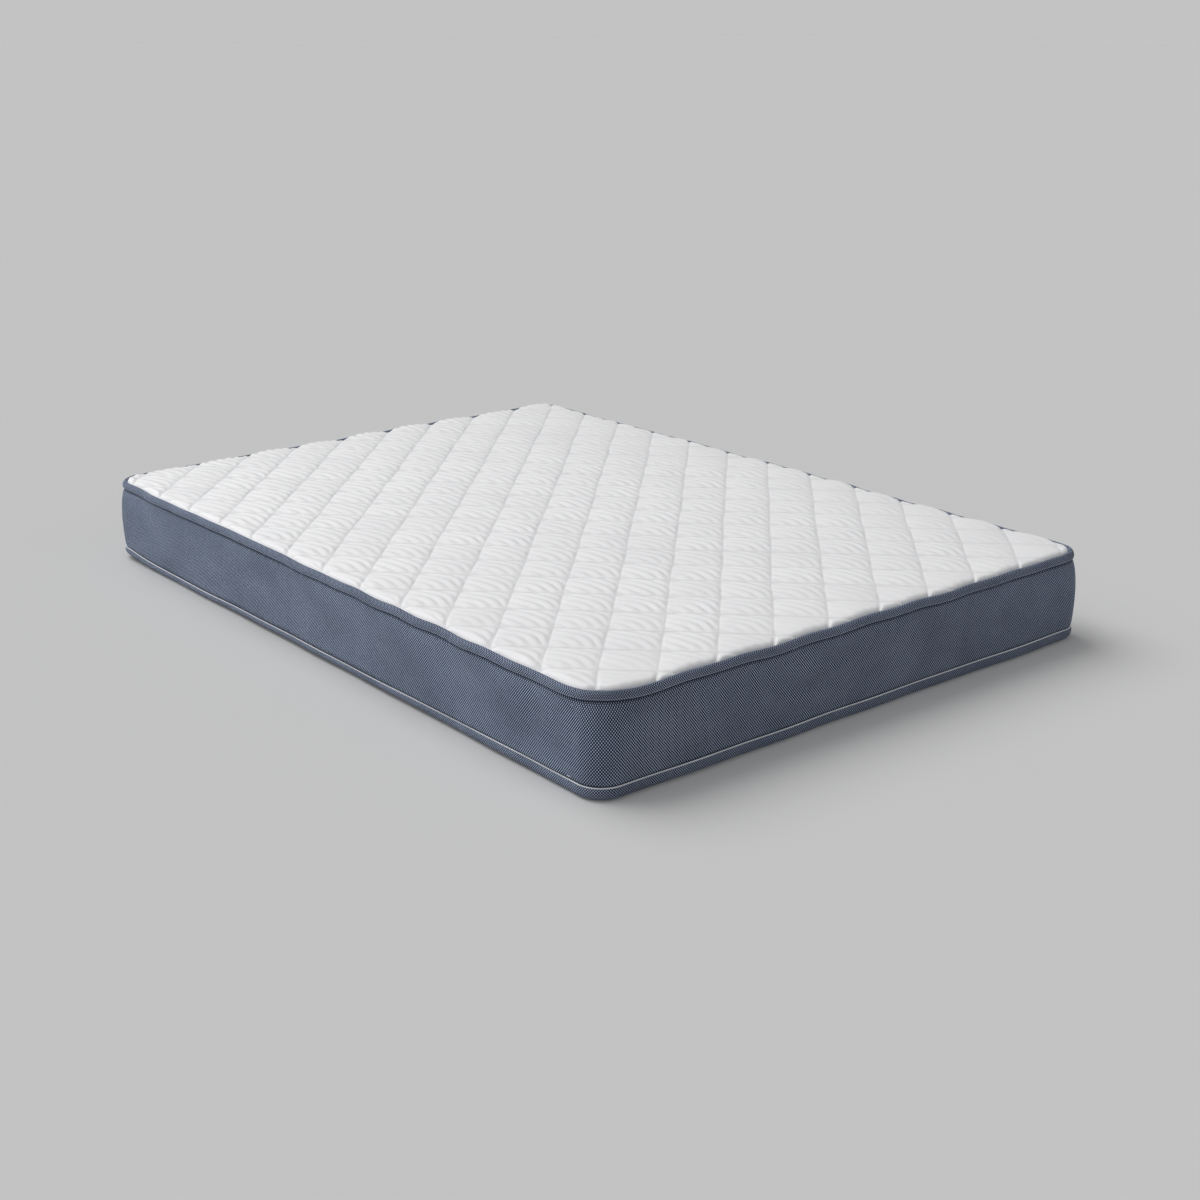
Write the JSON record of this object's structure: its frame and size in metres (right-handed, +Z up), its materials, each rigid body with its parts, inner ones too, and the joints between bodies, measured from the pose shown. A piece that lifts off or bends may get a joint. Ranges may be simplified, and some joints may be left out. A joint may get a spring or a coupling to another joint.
{
  "type": "memory foam mattress",
  "caption": "Full-size mattress: layered foam core in a diamond-quilted white knit top, navy spacer-mesh border and bound tape edges.",
  "frame": {"origin": "middle of the mattress's underside, on the surface that it lies on", "axes": "+Z up through the sleeping surface, +Y along the length towards the head end, +X across the width"},
  "size_m": [1.372, 1.905, 0.205],
  "materials": {
    "top_knit": "white stretch knit with a soft sheen",
    "quilt_thread": "white quilting thread",
    "border_mesh": "navy spacer mesh with small pale dots",
    "tape": "navy woven binding tape",
    "tape_thread": "slate sewing thread",
    "light_thread": "pale sewing thread",
    "base_cloth": "grey non-slip cloth with small grip dots",
    "lining": "off-white polyester wadding",
    "barrier": "off-white knitted fire sock",
    "base_foam": "cream open-cell polyurethane foam",
    "transition_foam": "pale blue open-cell foam",
    "memory_foam": "pale dense viscoelastic foam",
    "adhesive": "thin dried water-based glue",
    "backing": "white spunbond non-woven",
    "quilt_foam": "white soft open-cell foam"
  },
  "bodies": {
    "root": {"bottom_panel": "base_cloth", "bottom_tape": "tape", "bottom_tape_thread": "light_thread", "border_panel": "border_mesh", "border_lining": "lining", "border_seam_thread": "tape_thread", "fire_barrier": "barrier", "base_foam": "base_foam", "lower_adhesive": "adhesive", "transition_foam": "transition_foam", "upper_adhesive": "adhesive", "memory_foam": "memory_foam", "quilt_backing": "backing", "quilt_foam": "quilt_foam", "top_panel": "top_knit", "quilt_thread": "quilt_thread", "top_tape": "tape", "top_tape_thread": "tape_thread"}
  },
  "joints": []
}
